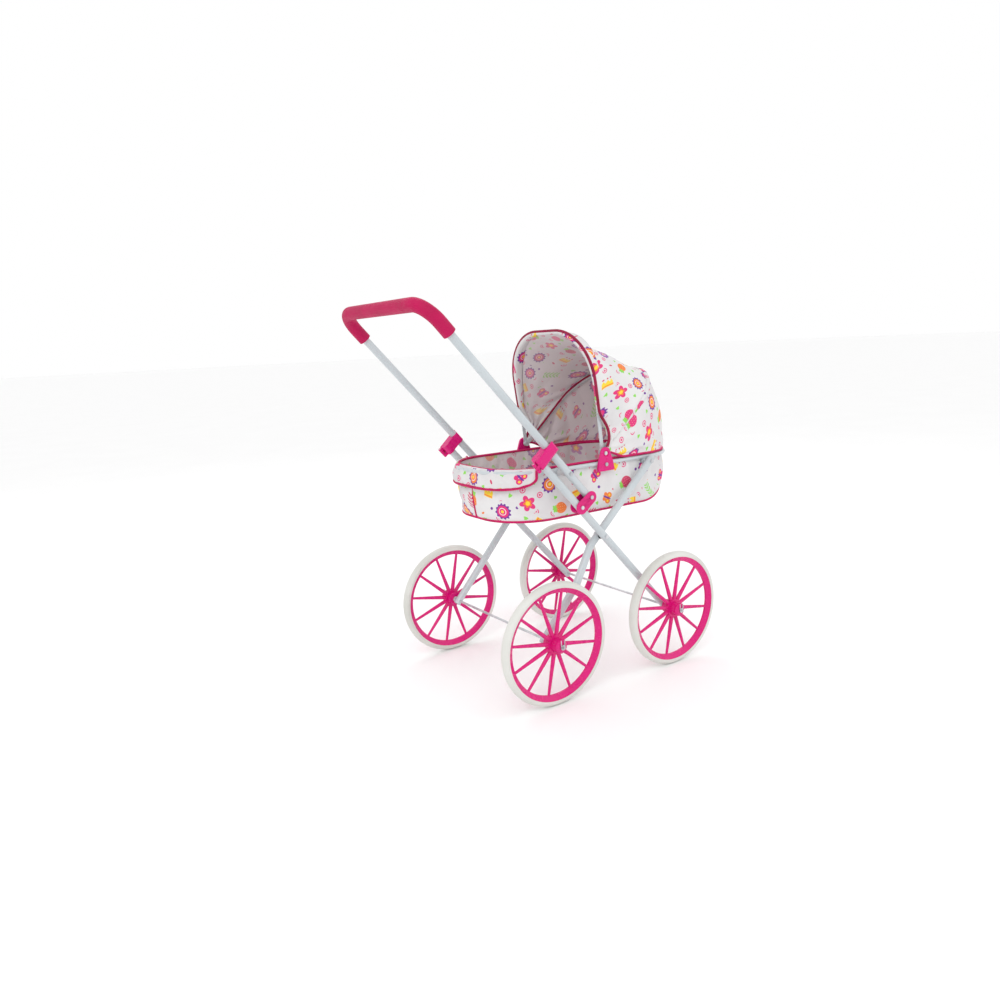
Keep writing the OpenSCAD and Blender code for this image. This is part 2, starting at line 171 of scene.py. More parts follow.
def bake(o):
    """Applies the modifiers."""
    dg = bpy.context.evaluated_depsgraph_get()
    me = bpy.data.meshes.new_from_object(o.evaluated_get(dg), depsgraph=dg)
    o.modifiers.clear()
    o.data = me
    return o


def face_out(o, centre):
    """Turns a sheet's faces away from a point."""
    c = Vector(centre)
    if sum(f.area * f.normal.dot((f.center - c).normalized()) for f in o.data.polygons) < 0:
        o.data.flip_normals()
    return o


def thicken(o, t, levels=0, inner=None):
    """Turns a sheet into cloth of thickness t, its second face taking the inner material."""
    if levels:
        s = o.modifiers.new("sub", "SUBSURF")
        s.levels = s.render_levels = levels
    m = o.modifiers.new("thick", "SOLIDIFY")
    m.thickness, m.offset = t, 0.0
    if inner is not None:
        o.data.materials.append(inner)
        m.material_offset = 1
    return bake(o)


def cloth(o, pin, slack=0.02, gravity=1.0, pressure=None, stiff=15.0, bend=0.4):
    """Adds a cloth simulation, holding each point by its share in pin."""
    group = o.vertex_groups.new(name="pin")
    for w in np.unique(pin):
        if w > 0:
            group.add([int(i) for i in np.nonzero(pin == w)[0]], float(w), "REPLACE")
    m = o.modifiers.new("cloth", "CLOTH")
    c = m.settings
    c.quality, c.mass = 5, 0.15
    c.tension_stiffness = c.compression_stiffness = stiff
    c.shear_stiffness, c.bending_stiffness = 5.0, bend
    c.vertex_group_mass = "pin"
    c.shrink_min = -slack
    c.effector_weights.gravity = gravity
    if pressure is not None:
        c.use_pressure, c.uniform_pressure_force = True, pressure
    m.collision_settings.use_collision = False
    return o


def settle(pieces, frames=18):
    """Runs the cloth of several pieces together, caps how far each point may move, and keeps the result."""
    scene = bpy.context.scene
    scene.frame_start, scene.frame_end = 1, frames
    for f in range(1, frames + 1):
        scene.frame_set(f)
    dg = bpy.context.evaluated_depsgraph_get()
    for o, cap in pieces:
        n = len(o.data.vertices)
        a, b = np.empty(n * 3), np.empty(n * 3)
        o.data.vertices.foreach_get("co", a)
        o.evaluated_get(dg).data.vertices.foreach_get("co", b)
        a, b = a.reshape(-1, 3), b.reshape(-1, 3)
        move = b - a
        far = np.linalg.norm(move, axis=1)
        move *= (cap * np.tanh(far / cap) / np.maximum(far, 1e-9))[:, None]
        o.modifiers.clear()
        o.data.vertices.foreach_set("co", (a + move).astype(np.float32).ravel())
        o.data.update()
    scene.frame_set(1)


# ---------- node materials ----------
class Num:
    """A shader value whose arithmetic adds Math nodes."""

    def __init__(self, tree, v):
        self.t, self.v = tree, v

    def math(self, kind, *others):
        n = self.t.nodes.new("ShaderNodeMath")
        n.operation = kind
        for i, x in enumerate((self, *others)):
            x = x.v if isinstance(x, Num) else x
            if isinstance(x, (int, float)):
                n.inputs[i].default_value = x
            else:
                self.t.links.new(x, n.inputs[i])
        return Num(self.t, n.outputs[0])

    def __add__(self, o): return self.math("ADD", o)
    def __radd__(self, o): return self.math("ADD", o)
    def __sub__(self, o): return self.math("SUBTRACT", o)
    def __rsub__(self, o): return Num(self.t, float(o)).math("SUBTRACT", self)
    def __mul__(self, o): return self.math("MULTIPLY", o)
    def __rmul__(self, o): return self.math("MULTIPLY", o)
    def __truediv__(self, o): return self.math("DIVIDE", o)
    def __lt__(self, o): return self.math("LESS_THAN", o)
    def __gt__(self, o): return self.math("GREATER_THAN", o)
    def sin(self): return self.math("SINE")
    def cos(self): return self.math("COSINE")
    def abs(self): return self.math("ABSOLUTE")
    def floor(self): return self.math("FLOOR")
    def frac(self): return self.math("FRACT")
    def min(self, o): return self.math("MINIMUM", o)
    def max(self, o): return self.math("MAXIMUM", o)


def hyp(x, y):
    return (x * x + y * y).math("SQRT")


def inside(d, edge):
    """1 where distance d is below edge, with a soft rim of about a thread's width."""
    n = d.t.nodes.new("ShaderNodeMapRange")
    n.interpolation_type = "SMOOTHSTEP"
    for i, x in enumerate((d, edge + 0.25, edge - 0.25, 0.0, 1.0)):
        if isinstance(x, Num):
            d.t.links.new(x.v, n.inputs[i])
        else:
            n.inputs[i].default_value = x
    return Num(d.t, n.outputs[0])


def mix(t, f, a, b):
    """Colour a where f is 0 and b where it is 1."""
    n = t.nodes.new("ShaderNodeMix")
    n.data_type = "RGBA"
    for i, x in ((0, f), (6, a), (7, b)):
        x = x.v if isinstance(x, Num) else x
        if isinstance(x, tuple):
            n.inputs[i].default_value = (*x, 1.0)
        elif isinstance(x, (int, float)):
            n.inputs[i].default_value = x
        else:
            t.links.new(x, n.inputs[i])
    return n.outputs[2]


def ramp(t, f, stops, constant=False):
    """A colour ramp over f through (position, colour) stops."""
    n = t.nodes.new("ShaderNodeValToRGB")
    e = n.color_ramp.elements
    n.color_ramp.interpolation = "CONSTANT" if constant else "LINEAR"
    while len(e) < len(stops):
        e.new(0.5)
    for k, (p, c) in zip(e, stops):
        k.position, k.color = p, (*c, 1.0)
    t.links.new(f.v if isinstance(f, Num) else f, n.inputs[0])
    return n.outputs[0]


def material(name, colour=(0.8, 0.8, 0.8), rough=0.5, **sockets):
    m = bpy.data.materials.new(name)
    m.use_nodes = True
    t = m.node_tree
    b = t.nodes["Principled BSDF"]
    b.inputs["Base Color"].default_value = (*colour, 1.0)
    b.inputs["Roughness"].default_value = rough
    for k, v in sockets.items():
        b.inputs[k.replace("_", " ")].default_value = v
    m.diffuse_color = (*colour, 1.0)
    return m, t, b


def noise(t, scale, detail=3.0, rough=0.5, vector=None):
    n = t.nodes.new("ShaderNodeTexNoise")
    n.inputs["Scale"].default_value = scale
    n.inputs["Detail"].default_value = detail
    n.inputs["Roughness"].default_value = rough
    if vector is None:
        g = t.nodes.new("ShaderNodeTexCoord")
        vector = g.outputs["Object"]
    t.links.new(vector, n.inputs["Vector"])
    return Num(t, n.outputs[0])


def bump(t, b, height, distance, strength=1.0):
    n = t.nodes.new("ShaderNodeBump")
    n.inputs["Distance"].default_value = distance
    n.inputs["Strength"].default_value = strength
    t.links.new(height.v, n.inputs["Height"])
    t.links.new(n.outputs[0], b.inputs["Normal"])


def vary(t, b, f, dark, light, lo=0.35, hi=0.65):
    t.links.new(ramp(t, f, [(lo, dark), (hi, light)]), b.inputs["Base Color"])


def rough_by(t, b, f, a, c):
    n = t.nodes.new("ShaderNodeMapRange")
    n.inputs[3].default_value, n.inputs[4].default_value = a, c
    t.links.new(f.v, n.inputs[0])
    t.links.new(n.outputs[0], b.inputs["Roughness"])


def moulded(name, colour, dark, rough=(0.2, 0.34)):
    """Glossy moulded plastic: slight flow marks and a fine uneven gloss."""
    m, t, b = material(name, colour, 0.25, Coat_Weight=0.12, Coat_Roughness=0.12, Specular_IOR_Level=0.3)
    soft = noise(t, 14.0, 2.0)
    vary(t, b, soft, dark, colour, 0.3, 0.6)
    rough_by(t, b, noise(t, 90.0, 3.0), *rough)
    bump(t, b, noise(t, 260.0, 2.0) + soft * 0.6, 0.00025, 0.35)
    return m


def painted(name, colour, dark, rough=(0.22, 0.36)):
    """Powder coated tube: orange peel, and a trace of grime in its cloudiness."""
    m, t, b = material(name, colour, 0.28, Coat_Weight=0.3, Coat_Roughness=0.1)
    vary(t, b, noise(t, 9.0, 4.0), dark, colour, 0.25, 0.55)
    rough_by(t, b, noise(t, 60.0, 3.0), *rough)
    bump(t, b, noise(t, 700.0, 2.0), 0.00012, 0.4)
    return m


def steel(name):
    """Bright drawn wire, slightly dulled."""
    m, t, b = material(name, (0.62, 0.63, 0.65), 0.3, Metallic=1.0)
    vary(t, b, noise(t, 40.0, 4.0), (0.46, 0.47, 0.49), (0.68, 0.69, 0.71))
    rough_by(t, b, noise(t, 300.0, 4.0), 0.22, 0.42)
    bump(t, b, noise(t, 900.0, 2.0), 0.00008, 0.4)
    return m


def foam(name):
    """Foam rubber with fine cells."""
    m, t, b = material(name, (0.5, 0.002, 0.085), 0.62, Sheen_Weight=0.04, Sheen_Roughness=0.4,
                       Specular_IOR_Level=0.25)
    cells = t.nodes.new("ShaderNodeTexVoronoi")
    cells.inputs["Scale"].default_value = 900.0
    g = t.nodes.new("ShaderNodeTexCoord")
    t.links.new(g.outputs["Object"], cells.inputs["Vector"])
    vary(t, b, noise(t, 22.0, 5.0), (0.42, 0.0015, 0.068), (0.5, 0.002, 0.085))
    bump(t, b, Num(t, cells.outputs["Distance"]) * 0.7 + noise(t, 60.0, 3.0) * 1.2, 0.0006, 0.45)
    rough_by(t, b, noise(t, 120.0, 3.0), 0.5, 0.72)
    return m


def tyre_stuff(name):
    """Soft ivory plastic of the tyres."""
    m, t, b = material(name, (0.83, 0.82, 0.76), 0.5)
    vary(t, b, noise(t, 8.0, 5.0), (0.60, 0.60, 0.56), (0.70, 0.70, 0.665))
    rough_by(t, b, noise(t, 140.0, 4.0), 0.42, 0.6)
    bump(t, b, noise(t, 420.0, 3.0), 0.0002, 0.4)
    return m


def uv_of(t, scale=1000.0, turn=0.0, shift=(0.0, 0.0)):
    """The UV map's two lengths in millimetres, turned and shifted."""
    n = t.nodes.new("ShaderNodeUVMap")
    s = t.nodes.new("ShaderNodeSeparateXYZ")
    t.links.new(n.outputs[0], s.inputs[0])
    u, v = Num(t, s.outputs[0]) * scale + shift[0], Num(t, s.outputs[1]) * scale + shift[1]
    c, k = math.cos(turn), math.sin(turn)
    return u * c - v * k, u * k + v * c


def cell(t, u, v, size, seed):
    """Local coordinates in mm within a square cell, turned at random, with the cell's random numbers."""
    cu, cv = u / size, v / size
    iu, iv = cu.floor(), cv.floor()
    x = t.nodes.new("ShaderNodeCombineXYZ")
    for i, q in enumerate((iu, iv)):
        t.links.new(q.v, x.inputs[i])
    x.inputs[2].default_value = seed
    w = t.nodes.new("ShaderNodeTexWhiteNoise")
    t.links.new(x.outputs[0], w.inputs["Vector"])
    s = t.nodes.new("ShaderNodeSeparateColor")
    t.links.new(w.outputs["Color"], s.inputs[0])
    r1, r2, r3 = (Num(t, s.outputs[i]) for i in range(3))
    pick = Num(t, w.outputs["Value"])
    px = (cu - iu - 0.5) * size + (r1 - 0.5) * (size * 0.22)
    py = (cv - iv - 0.5) * size + (r2 - 0.5) * (size * 0.22)
    a = r3 * 6.283
    c, k = a.cos(), a.sin()
    return px * c - py * k, px * k + py * c, pick, r1, r2


PINK, ROSE, GREEN, PURPLE = (0.74, 0.015, 0.18), (0.62, 0.03, 0.12), (0.25, 0.68, 0.08), (0.16, 0.02, 0.30)
YELLOW, ORANGE, LILAC = (0.93, 0.66, 0.03), (0.86, 0.20, 0.02), (0.42, 0.10, 0.42)


def print_colour(t, base):
    """The print: flowers, berries, sprigs, butterflies and crowns, with rings, hearts and dots between."""
    u, v = uv_of(t, scale=690.0, turn=0.5, shift=(7.0, 13.0))
    # small motifs
    x, y, pick, r1, r2 = cell(t, u, v, 17.0, 3.0)
    r = hyp(x, y)
    small = ramp(t, r1, [(0.0, PINK), (0.3, GREEN), (0.5, PURPLE), (0.62, ROSE), (0.8, ORANGE),
                         (0.9, LILAC)], True)
    ring = inside((r - 3.4).abs(), 0.62).max(inside(r, 1.5))
    heart = inside(hyp(x, y + x.abs() * -0.75), 2.6)
    dot = inside(r, 2.0)
    leaf = inside(hyp(x * 2.2, y), 3.2)
    mask = (ring * (pick < 0.3)).max(heart * (pick > 0.3) * (pick < 0.5)).max(dot * (pick > 0.5)
        * (pick < 0.68))
    mask = mask.max(leaf * (pick > 0.68) * (pick < 0.84))
    # large motifs
    x, y, pick, r1, r2 = cell(t, u, v, 37.0, 11.0)
    r, a = hyp(x, y), x.math("ARCTAN2", y)
    mask = mask * (r > 14.5)
    col = mix(t, mask, base, small)
    bright = ramp(t, r2, [(0.0, PINK), (0.34, ROSE), (0.55, LILAC), (0.72, ORANGE), (0.86, PINK)], True)
    deep = ramp(t, r1, [(0.0, PURPLE), (0.3, ORANGE), (0.55, PURPLE), (0.75, ROSE)], True)

    def kind(lo, hi):
        return (pick > lo) * (pick < hi)

    # scalloped flower with a ring and a middle
    k = kind(-0.1, 0.24)
    edge = (a * 12.0).cos() * 1.1
    col = mix(t, inside(r - edge, 10.6) * k, col, deep)
    col = mix(t, inside(r, 8.2) * k, col, bright)
    col = mix(t, inside((r - 4.6).abs(), 0.5) * k, col, (0.9, 0.75, 0.75))
    col = mix(t, inside(r, 2.1) * k, col, YELLOW)
    # flower of five petals
    k = kind(0.24, 0.4)
    petal = (a * 2.5).cos().abs() * 5.2
    col = mix(t, inside(r - petal, 6.0) * k, col, bright)
    col = mix(t, inside(r - petal * 0.5, 3.4) * k, col, ORANGE)
    col = mix(t, inside(r, 3.0) * k, col, YELLOW)
    # berry with seeds and a leafy top
    k = kind(0.4, 0.62)
    berry = inside(hyp(x * (1.0 + (y + 2.0) * 0.035), y + 2.0 - x.abs() * 0.35), 8.6)
    col = mix(t, berry * k, col, bright)
    sx, sy = (x / 3.6).frac() - 0.5, ((y + x.abs()) / 3.6).frac() - 0.5
    col = mix(t, inside(hyp(sx, sy) * 3.6, 0.35) * berry * k, col, (0.93, 0.7, 0.55))
    top = hyp(x, (y - 8.6) * 1.7) - (x.math("ARCTAN2", y - 8.6) * 3.0).cos().abs() * 2.4
    col = mix(t, inside(top, 3.8) * k, col, GREEN)
    # leafy sprig
    k = kind(0.62, 0.76)
    tail = (y.abs() < 11.0)
    along = ((y + x.abs() * -0.8) / 5.0).frac() - 0.5
    leaves = inside(hyp((x.abs() - 3.2) * 0.55, along * 5.0), 1.5) * tail
    col = mix(t, leaves.max(inside(x.abs(), 0.45) * tail) * k, col, ramp(t, r2, [(0.0, GREEN), (0.7, ROSE)],
        True))
    # butterfly
    k = kind(0.76, 0.88)
    wings = inside(hyp(x.abs() - 4.6, y - 3.0), 4.2).max(inside(hyp(x.abs() - 3.6, y + 3.6), 3.1))
    col = mix(t, wings * k, col, bright)
    col = mix(t, inside(hyp(x.abs() - 4.8, y - 3.2), 1.7) * k, col, YELLOW)
    col = mix(t, inside(hyp(x * 4.0, y * 0.75), 5.4) * k, col, PURPLE)
    # crown
    k = kind(0.88, 1.1)
    spikes = ((x / 5.0).frac() - 0.5).abs() * 9.0
    body = (x.abs() < 7.5) * (y > -6.0) * ((y - spikes) < 1.0)
    col = mix(t, body * k, col, YELLOW)
    col = mix(t, (x.abs() < 7.5) * inside((y + 4.0).abs(), 0.9) * k, col, ORANGE)
    col = mix(t, inside(hyp(((x / 5.0 + 0.5).frac() - 0.5) * 5.0, y - 7.6), 1.3) * (x.abs() < 6.6) * k, col,
              ROSE)
    return col


def weave(t, size=0.9):
    """Height of a plain weave of that thread pitch in mm."""
    u, v = uv_of(t)
    a, b = (u * (6.283 / size)).sin(), (v * (6.283 / size)).sin()
    return a * b


def cloth_print(name, pale_reverse_with_painted_light):
    """The printed cloth, or its paler reverse, which is also lightened as painted light for light shining
    through the thin cloth.
    """
    m, t, b = material(name, (0.83, 0.79, 0.81), 0.82, Sheen_Weight=0.05, Sheen_Roughness=0.5,
                       Specular_IOR_Level=0.3)
    haze = noise(t, 11.0, 4.0)
    base = ramp(t, haze, [(0.3, (0.66, 0.645, 0.655)), (0.65, (0.75, 0.745, 0.745))])
    col = print_colour(t, base)
    if pale_reverse_with_painted_light:
        # the reverse is paler print, and this light mix is also painted light standing in for light shining
        # through the thin cloth
        col = mix(t, 0.34, col, (0.84, 0.74, 0.76))
    thread = weave(t)
    t.links.new(mix(t, (thread * 0.5 + 0.5) * 0.1, col, (0.52, 0.50, 0.51)), b.inputs["Base Color"])
    bump(t, b, thread * 0.05 + noise(t, 38.0, 4.0, 0.55) * 1.6, 0.0016, 0.45)
    rough_by(t, b, noise(t, 200.0, 2.0), 0.74, 0.9)
    return m


def binding(name, colour, dark):
    """Woven tape folded over an edge, with its row of stitches."""
    m, t, b = material(name, colour, 0.7, Sheen_Weight=0.05, Sheen_Roughness=0.4, Specular_IOR_Level=0.3)
    u, v = uv_of(t)
    stitch = inside(((u / 3.2).frac() - 0.5).abs() * 3.2,
                    1.0) * inside((v - 1.6).abs().min((v - 7.4).abs()), 0.35)
    shade = ramp(t, noise(t, 60.0, 4.0), [(0.3, dark), (0.65, colour)])
    t.links.new(mix(t, stitch, shade, tuple(min(1.0, c * 1.5 + 0.05) for c in colour)),
                b.inputs["Base Color"])
    bump(t, b, (u * 9.0).sin() * (v * 9.0).sin() * 0.25 + stitch * -1.0 + noise(t, 120.0, 3.0), 0.0007, 0.5)
    rough_by(t, b, noise(t, 300.0, 2.0), 0.6, 0.8)
    return m


M_PINK = moulded("pink_plastic", (0.68, 0.006, 0.185), (0.63, 0.005, 0.165))
M_WHITE = painted("white_paint", (0.53, 0.575, 0.60), (0.46, 0.505, 0.53))
M_PLUG = moulded("white_plastic", (0.55, 0.57, 0.58), (0.48, 0.50, 0.51), (0.4, 0.55))
M_DARK = moulded("dark_plastic", (0.03, 0.03, 0.035), (0.015, 0.015, 0.02), (0.4, 0.6))
M_STEEL, M_FOAM, M_TYRE = steel("bright_steel"), foam("pink_foam"), tyre_stuff("ivory_tyre")
M_CLOTH, M_INSIDE = cloth_print("print_cloth", False), cloth_print("print_cloth_inside", True)
M_BIND = binding("pink_binding", (0.58, 0.004, 0.115), (0.46, 0.003, 0.08))
M_PIPE = binding("red_piping", (0.33, 0.008, 0.055), (0.22, 0.004, 0.03))
M_BOARD = painted("stiffener_board", (0.55, 0.52, 0.46), (0.46, 0.43, 0.38), (0.7, 0.85))

BY_SLOT = {
    "pink_plastic": M_PINK,
    "white_paint": M_WHITE,
    "bright_steel": M_STEEL,
    "pink_foam": M_FOAM,
    "ivory_tyre": M_TYRE,
    "white_plastic": M_PLUG,
    "dark_plastic": M_DARK,
    "stiffener_board": M_BOARD,
    "print_fabric": M_CLOTH,
}
for part in frame["record"]["subparts"]:
    o = nodes[part["node"]]
    o.data.materials.clear()
    o.data.materials.append(BY_SLOT[part["material_slot"]])
    name = part["node"]
    if name.startswith(("latch_", "link_plate", "hood_bracket")) and name != "latch_pins":
        w = o.modifiers.new("weld", "WELD")
        w.merge_threshold = 2e-5
        e = o.modifiers.new("edge", "BEVEL")
        e.width = 0.0012 if name.startswith("latch") else 0.0006
        e.segments = 3
        e.limit_method, e.angle_limit = "ANGLE", math.radians(35)
        e.use_clamp_overlap, e.harden_normals = True, False

# ---------- hood ----------
N_S = 97


def arch(width, top, corner, count=N_S):
    """Across and outwards coordinates along an arch, from the -Y pivot over the top to the +Y pivot."""
    pts = [(-width, 0.0)]
    pts += [(-(width - corner) - corner * math.cos(a), top - corner + corner * math.sin(a))
            for a in np.linspace(0, math.pi / 2, 25)]
    pts += [((width - corner) + corner * math.sin(a), top - corner + corner * math.cos(a))
            for a in np.linspace(0, math.pi / 2, 25)]
    pts.append((width, 0.0))
    p = np.array(pts)
    d = np.concatenate([[0], np.cumsum(np.linalg.norm(np.diff(p, axis=0), axis=1))])
    s = np.linspace(0, d[-1], count)
    return np.interp(s, d, p[:, 0]), np.interp(s, d, p[:, 1])


def at(theta, y, out):
    """The point at angle theta about the hood's pivot."""
    t = np.radians(theta)
    return np.stack([PIVOT[0] + out * np.cos(t), y, PIVOT[2] + out * np.sin(t)], axis=-1)


FRONT, RIB = 98.0, 41.0          # angles of the front edge and the rib above level
FRONT_ARCH = (0.1340, 0.2425, 0.102)   # half width, height and corner radius
RIB_ARCH = (0.1305, 0.2385, 0.108)
LOW_ARCH = (0.1315, 0.2255, 0.108)
ya, ra = arch(*FRONT_ARCH)
yb, rb = arch(*RIB_ARCH)
N_T = 25


def edge_angle(out):
    """The front edge's angle: cut back behind the hoop just above the bracket."""
    return FRONT - 40.0 * (1 - smooth(0.010, 0.085, out))


def ruffle(p, size, seed, height, along, fade):
    """Moves a sheet's points off the pivot by a soft unevenness and by folds that run to the brackets."""
    n = p - PIVOT
    n /= np.maximum(np.linalg.norm(n, axis=2), 1e-6)[..., None]
    out = np.hypot(p[..., 0] - PIVOT[0], p[..., 2] - PIVOT[2])
    phase = 2 * math.pi * along[None, :] * 3.2 + 1.1 * wave(p, 0.09, seed + 1)
    folds = np.sin(phase) * (1 - smooth(0.06, 0.2, out)) * smooth(0.008, 0.045, out)
    lift = height * wave(p, size, seed) * smooth(0.02, 0.1, out) + 0.0026 * folds
    return p + n * (lift * fade[None, :])[..., None]


along = np.linspace(0, 1, N_T)
front = np.stack([(1 - t) * at(RIB, yb, rb) + t * at(edge_angle(ra), ya, ra) for t in along], axis=1)
front = ruffle(front, 0.035, 4, 0.0022, along, np.sin(math.pi * along) ** 0.6)
hood_front_cloth = grid("hood_front_cloth", front)
pin = np.zeros((N_S, N_T))
pin[:, 0] = pin[:, -1] = 1
pin[:3] = pin[-3:] = 1
cloth(hood_front_cloth, pin.ravel(), slack=0.01, stiff=12.0, bend=0.15, gravity=0.5)

N_R = 27
edge_z = RIM_Z + 0.0065
rows = []
sweep = PIVOT[2] - (PIVOT[2] - edge_z) * smooth(0.012, 0.06, rb)
low = np.degrees(np.arcsin(np.clip((sweep - PIVOT[2]) / np.maximum(rb, 0.016), -1, 0)))
yl, rl = arch(*LOW_ARCH)
for k in range(N_R):
    t = k / (N_R - 1)
    theta = RIB + (low - RIB) * t
    y, r = yb + (yl - yb) * t, rb + (rl - rb) * t
    r = r * (1 + 0.014 * math.sin(math.pi * t) * smooth(0.05, 0.2, rb))
    rows.append(at(theta, y, r))
rear = np.stack(rows, axis=1)
back = np.linspace(0, 1, N_R)
rear = ruffle(rear, 0.035, 9, 0.002, back, np.sin(math.pi * back) ** 0.6)
hood_rear_cloth = grid("hood_rear_cloth", rear)
pin = np.zeros((N_S, N_R))
pin[:, 0] = pin[:, -1] = 1
pin[:3] = pin[-3:] = 1
cloth(hood_rear_cloth, pin.ravel(), slack=0.01, stiff=12.0, bend=0.15, gravity=0.4)

# ---------- carrycot ----------
N_L, N_H = 181, 13
BELLY = 0.0045
top = loop_points(0.0, N_L, COT_HI[2] - 0.001)
bottom = loop_points(-0.004, N_L)
bottom[:, 2] = floor_z(bottom[:, 0])
inward = loop_points(-0.03, N_L) - loop_points(0.0, N_L)
inward /= np.linalg.norm(inward, axis=1)[:, None]


def belly(t):
    """How far out the wall bulges at depth t, from 0 to 1."""
    return math.sin(math.pi * max(0.0, t - 0.12) / 0.88)


rows = []
for k in range(N_H):
    t = k / (N_H - 1)
    p = (1 - t) * top + t * bottom
    rows.append(p - inward * (BELLY * belly(t)))
wall = np.stack(rows, axis=1)
fade = np.sin(np.linspace(0, math.pi, N_H))[None, :]
depth = np.linspace(0, 1, N_H)[None, :]
fine = 0.0024 * wave(wall * [1, 1, 0.4], 0.018, 21) * fade * (1.2 - depth * 0.7)
broad = 0.002 * wave(wall, 0.05, 5) * fade
wall -= inward[:, None, :] * (fine + broad)[..., None]
wall[-1] = wall[0]
cot_walls = grid("cot_walls", wall)
pin = np.zeros((N_L, N_H))
pin[:, 0] = pin[:, -1] = 1
pin[0] = pin[-1] = 1
cloth(cot_walls, pin.ravel(), slack=0.025, stiff=10.0, bend=0.1)

# the bottom, rings from the seam in to the middle line
N_F = 13
centre = bottom.copy()
centre[:, 0] = np.clip(bottom[:, 0], COT_LO[0] + END_R + 0.004, COT_HI[0] - END_R - 0.004)
centre[:, 1] *= 0.02
rows = []
for k in range(N_F):
    t = k / (N_F - 1)
    p = (1 - t) * bottom + t * centre
    p[:, 2] = floor_z(p[:, 0]) - 0.0008 * math.sin(math.pi * t)
    rows.append(p)
under = np.stack(rows, axis=1)
cot_bottom = grid("cot_bottom", under, uv=under[..., :2].copy())

# the lining over the base board
board_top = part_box("base_board")[1].z
lining_edge = loop_points(-0.0075, N_L, board_top + 0.0012)
rows = []
for k in range(N_F):
    t = k / (N_F - 1)
    c = lining_edge.copy()
    c[:, 0] = np.clip(lining_edge[:, 0], COT_LO[0] + END_R + 0.004, COT_HI[0] - END_R - 0.004)
    c[:, 1] *= 0.02
    p = (1 - t) * lining_edge + t * c
    over_board = np.maximum(board_top + 0.0012, floor_z(p[:, 0]) + 0.0035)
    crown = 0.002 * math.sin(math.pi * min(1.0, t * 1.6) / 2)
    p[:, 2] = over_board + crown + 0.0007 * wave(p[:, :2], 0.02, 33) * math.sin(math.pi * t)
    rows.append(p)
lining = np.stack(rows, axis=1)
cot_lining = grid("cot_lining", lining, uv=lining[..., :2].copy())

# ---------- apron over the foot end ----------
N_A = 15
keep = [i for i in range(N_L) if top[i, 0] < SHIFT - 0.128]
foot = [i for i in keep if i > N_L // 2] + [i for i in keep if i <= N_L // 2][1:]
outer = loop_points(0.0125, N_L)[foot]
rim_over = loop_points(0.0055, N_L)[foot]
inner = loop_points(-0.002, N_L)[foot]
xa = outer[:, 0] - SHIFT
# the lower edge rises from the foot end towards the sides
edge_x = [-0.2150, -0.190, -0.168, -0.150, -0.140, -0.132, -0.126]
edge_height = [0.4045, 0.4055, 0.4080, 0.4135, 0.4205, 0.4300, 0.4370]
drop = np.interp(xa, edge_x, edge_height)
z_top = COT_HI[2] + 0.0025
section = []
for k in range(N_A):
    t = k / (N_A - 1)
    if t < 0.25:
        q = t / 0.25
        p = inner * (1 - q) + rim_over * q
        z = np.full(len(p), COT_HI[2] - 0.001) * (1 - q) + q * z_top
    else:
        q = (t - 0.25) / 0.75
        p = rim_over * (1 - min(1.0, q * 2.6)) + outer * min(1.0, q * 2.6)
        z = z_top * (1 - q) + drop * q - 0.001 * math.sin(math.pi * q)
    p = p.copy()
    p[:, 2] = z
    section.append(p)
skin = np.stack(section, axis=1)
back_dir = (loop_points(-0.03, N_L) - loop_points(0.0, N_L))[foot]
back_dir /= np.linalg.norm(back_dir, axis=1)[:, None]
puff = np.array([0.0004 + 0.0048 * math.sin(math.pi * min(1.0, max(0.0, (k / (N_A - 1) - 0.22) / 0.78)))
                 for k in range(N_A)])
lining_side = skin + back_dir[:, None, :] * puff[None, :, None]
lining_side[:, : N_A // 4 + 1, 2] -= 0.0015
nf = len(foot)
front_uv = np.dstack([np.broadcast_to(np.concatenate([[0], np.cumsum(np.linalg.norm(np.diff(outer, axis=0),
    axis=1))])[:, None], (nf, N_A)),
                      np.broadcast_to(np.linspace(0, 0.05, N_A)[None, :], (nf, N_A))])
verts = np.concatenate([skin.reshape(-1, 3), lining_side.reshape(-1, 3)])
faces = [(i * N_A + j, i * N_A + j + 1, (i + 1) * N_A + j + 1, (i + 1) * N_A + j) for i in range(nf - 1)
         for j in range(N_A - 1)]
off = nf * N_A
faces += [tuple(off + q for q in reversed(f)) for f in faces]
rim_loop = [i * N_A for i in range(nf)]
rim_loop += [(nf - 1) * N_A + j for j in range(1, N_A)]
rim_loop += [i * N_A + N_A - 1 for i in range(nf - 2, -1, -1)]
rim_loop += [j for j in range(N_A - 2, 0, -1)]
faces += [(a, b, off + b, off + a) for a, b in zip(rim_loop, rim_loop[1:] + rim_loop[:1])]
foot_apron = add("foot_apron", verts, faces, np.concatenate([front_uv.reshape(-1, 2)] * 2))
pin = np.zeros((2, nf, N_A))
pin[:, :, : N_A // 4 + 1] = 1
pin[:, :, -1] = 0.7
pin[:, [0, -1]] = 0.9
cloth(foot_apron, pin.ravel(), slack=0.04, stiff=8.0, bend=0.06, pressure=4.0, gravity=0.3)

settle([(hood_front_cloth, 0.004), (hood_rear_cloth, 0.004), (cot_walls, 0.0055), (foot_apron, 0.006)])


def column_of(o, n, m, j):
    """Points of column j of a grid piece, along its first direction."""
    co = np.empty(len(o.data.vertices) * 3)
    o.data.vertices.foreach_get("co", co)
    return co.reshape(-1, 3)[: n * m].reshape(n, m, 3)[:, j]


